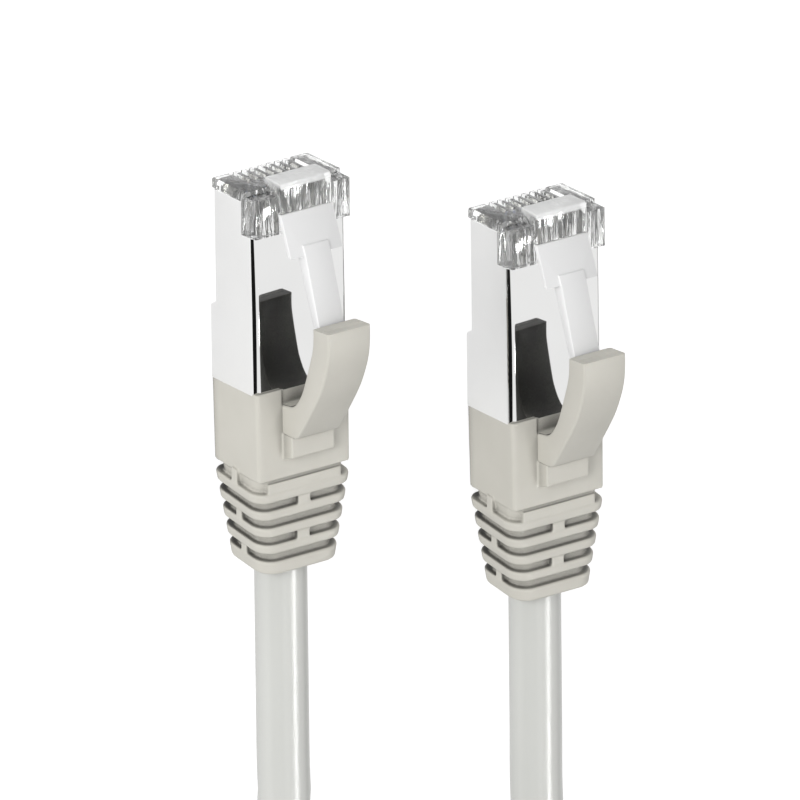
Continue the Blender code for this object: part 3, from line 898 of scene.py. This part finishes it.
def boot_shape():
    parts = [boot_block()]
    relief_length = BOOT_SQUARE_END - BOOT_END
    core = [relief_section(behind, RELIEF_DEPTH) for behind in (-0.3, relief_length - 0.5)]
    parts.append(loft("core", core))
    starts = [RING_FIRST + i * RING_PITCH for i in range(RING_COUNT)]
    spans = [(start, start + RING_LENGTH) for start in starts]
    spans.append((COLLAR_START, relief_length))
    parts += [relief_ring(*span) for span in spans]
    ends = [0.0] + [far for near, far in spans]
    for level, (near, _) in enumerate(spans):
        parts.append(relief_bridge(level, ends[level] - 0.1, near + 0.1))
    # On the latch side a step fills the first gap, but for a shallow groove behind the block
    step = (BOOT_SQUARE_END - RING_FIRST - 0.2, BOOT_SQUARE_END - STEP_GROOVE)
    parts.append(box("step", -STEP_HALF, STEP_HALF, *step, PLUG_TOP - 1.2, PLUG_TOP + 0.25))
    groove = (BOOT_SQUARE_END - STEP_GROOVE - 0.2, BOOT_SQUARE_END + 0.2)
    parts.append(box("groove", -STEP_HALF, STEP_HALF, *groove, PLUG_TOP - 1.2, PLUG_TOP - 0.1))
    pad = [
        (BOOT_FRONT - 4.7, PLUG_TOP - 0.3),
        (BOOT_FRONT - 4.7, PLUG_TOP + PAD_HEIGHT),
        (BOOT_FRONT - 7.0, PLUG_TOP + PAD_HEIGHT),
        (BOOT_FRONT - 7.55, PLUG_TOP),
        (BOOT_FRONT - 7.55, PLUG_TOP - 0.3),
    ]
    parts.append(prism_x("pad", pad, PAD_HALF))
    return melt(join("boot", parts), 0.1, 4, 0.4)


# The finger's outer and inner faces: (height over the plug's top, y from the boot's front)
OUTER_LINE = [
    (-0.4, -4.8),
    (2.28, -4.72),
    (3.29, -3.69),
    (4.7, -1.65),
    (5.89, 0.16),
    (6.6, 1.35),
    (7.14, 2.48),
    (7.78, 4.1),
    (8.15, 5.56),
    (8.27, 7.0),
    (8.27, 8.35),
]
INNER_LINE = [
    (-0.4, -1.75),
    (0.65, -1.6),
    (1.69, -1.4),
    (2.45, -0.85),
    (3.1, 0.0),
    (3.6, 0.9),
    (4.06, 2.08),
    (4.75, 3.95),
    (5.34, 5.79),
    (5.5, 7.0),
    (5.52, 8.15),
]


def finger_shape():
    """A loft along the finger, each ring a round-cornered section between its inner and outer lines."""
    count = 40
    outer = smooth_line(OUTER_LINE, count)
    inner = smooth_line(INNER_LINE, count)
    half, radius, segments = PAD_HALF, 0.28, 4
    rings = []
    for i in range(count):
        a, b = inner[i], outer[i]
        thick = np.linalg.norm(b - a)
        way = (b - a) / thick
        ring = []
        corners = ((half, 0, -90), (half, thick, 0), (-half, thick, 90), (-half, 0, 180))
        for cx, ct, start in corners:
            ox = cx - math.copysign(radius, cx)
            ot = ct + radius if ct == 0 else ct - radius
            for step in range(segments + 1):
                angle = math.radians(start + 90 * step / segments)
                along = a + way * (ot + radius * math.sin(angle))
                ring.append((ox + radius * math.cos(angle), BOOT_FRONT + along[1], PLUG_TOP + along[0]))
        rings.append(ring)
    finger = loft("finger", rings)
    groove = box("groove", -2.2, 2.2, BOOT_FRONT + 8.25, BOOT_FRONT + 9, PLUG_TOP + 6.9, PLUG_TOP + 7.5)
    boolean(finger, "DIFFERENCE", [groove])
    bevel(finger, 0.2, 3, 40)
    # The finger's inner faces: these take its painted shade, and the rest of the finger takes the painted
    # dark reflection
    inner_faces = finger.data.attributes.new("inner", "FLOAT", "FACE")
    for value, face in zip(inner_faces.data, finger.data.polygons):
        nx, ny, nz = face.normal
        value.value = float(abs(nx) < 0.3 and ny < 0.98 and (ny > 0.1 and nz < -0.01 or nz < -0.6))
    return shade(finger, 50)


def contact_shape(index):
    s = SOLE
    blade = [
        (-0.75, s + 1.2),
        (-1.15, s + 0.55),
        (-1.8, s + 0.4),
        (-5.6, s + 0.4),
        (-6.1, s + 0.9),
        (-6.1, s + 2.6),
        (-5.6, s + 3.3),
        (-5.1, s + 2.7),
        (-4.3, s + 2.7),
        (-3.9, s + 3.3),
        (-3.5, s + 2.4),
        (-0.75, s + 2.4),
    ]
    obj = prism_x("contact", blade, CONTACT_HALF, slot_x(index))
    return shade(bevel(obj, 0.04, 1))


def add_plugs(looks):
    shapes = {
        "housing": (housing_shape(), "clear_housing", "clear"),
        "shield": (shield_shape(), "nickel_shield", "shield"),
        "boot": (boot_shape(), "grey_boot", "boot"),
    }
    for name, (shape, slot, look) in shapes.items():
        for tag in PLACES:
            piece = put(shape, f"{name}_look", tag, looks[look])
            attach(piece, "cable")
            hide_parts(f"plug_{tag}_{name}")
        bpy.data.objects.remove(shape, do_unlink=True)
    latch_bend = (-2.4, PLUG_TOP + 0.85), (-3.4, PLUG_TOP + 1.2)
    finger_bend = (BOOT_FRONT - 3.2, PLUG_TOP + 0.1), (BOOT_FRONT - 2.6, PLUG_TOP + 1.3)
    moving = {
        "latch": (latch_shape(), "latch", "frosted_latch", latch_bend),
        "finger": (finger_shape(), "boot_finger", "grey_boot", finger_bend),
    }
    for name, (shape, node, slot, bend) in moving.items():
        for tag, place in PLACES.items():
            piece = put(shape, f"{name}_look", tag, looks[name])
            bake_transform(piece)
            # The photo's shield shows the finger's reflection unbroken by the latch's
            piece.visible_glossy = name != "latch"
            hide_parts(f"plug_{tag}_{node}")
        bpy.data.objects.remove(shape, do_unlink=True)
    for index in range(CONTACTS):
        shape = contact_shape(index)
        for tag in PLACES:
            piece = put(shape, f"contact_{index + 1}_look", tag, looks["contact"])
            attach(piece, "cable")
            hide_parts(f"plug_{tag}_contact_{index + 1}")
        bpy.data.objects.remove(shape, do_unlink=True)


def carry_over(looks):
    """Better finishes on the CAD solids that stay, each by the name of its look."""
    for tag in PLACES:
        finishes = {"wire_guide": "clear_guide", "crimp_collar": "collar"}
        for i in range(CONTACTS):
            finishes[f"conductor_{i + 1}"] = f"wire_{i}"
        for name, look in finishes.items():
            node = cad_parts[f"plug_{tag}_{name}"]
            for slot in node.material_slots:
                slot.material = looks[look]


# Each conductor's colour, and its stripe where it has one
WIRE_COLOURS = [
    ((0.85, 0.8, 0.74), (0.85, 0.42, 0.12)),
    ((0.85, 0.38, 0.1), None),
    ((0.8, 0.84, 0.79), (0.14, 0.45, 0.2)),
    ((0.1, 0.2, 0.6), None),
    ((0.8, 0.82, 0.86), (0.12, 0.25, 0.62)),
    ((0.1, 0.42, 0.17), None),
    ((0.84, 0.8, 0.76), (0.35, 0.2, 0.1)),
    ((0.3, 0.16, 0.08), None),
]


def main():
    bpy.context.scene.view_settings.view_transform = "Standard"
    add_camera()
    World().build()
    add_key()
    add_floor()
    looks = {
        "clear": clear_material(milky=True),
        "latch": latch_material(),
        "shield": shield_material(),
        # The boot and finger looks carry painted shade in their hollows; the finger's is also painted dark on
        # its inner faces and in reflections
        "boot": boot_material("boot_pvc", (0.0035, 0.3, 0.68, 0.1)),
        "finger": boot_material("finger_pvc", (0.014, 0.35, 0.8, 0.03, "inner"), mirrored=0.06),
        "jacket": jacket_material(),
        "strap": strap_material(),
        "contact": metal_material("contact_nickel", (0.86, 0.85, 0.82), 0.15),
        "collar": metal_material("collar_metal", (0.7, 0.7, 0.72), 0.3),
        "clear_guide": clear_material(),
    }
    for i, (colour, stripe) in enumerate(WIRE_COLOURS):
        looks[f"wire_{i}"] = wire_material(f"wire_{i + 1}", colour, stripe)
    add_cable(looks["jacket"], looks["strap"])
    add_plugs(looks)
    carry_over(looks)


main()
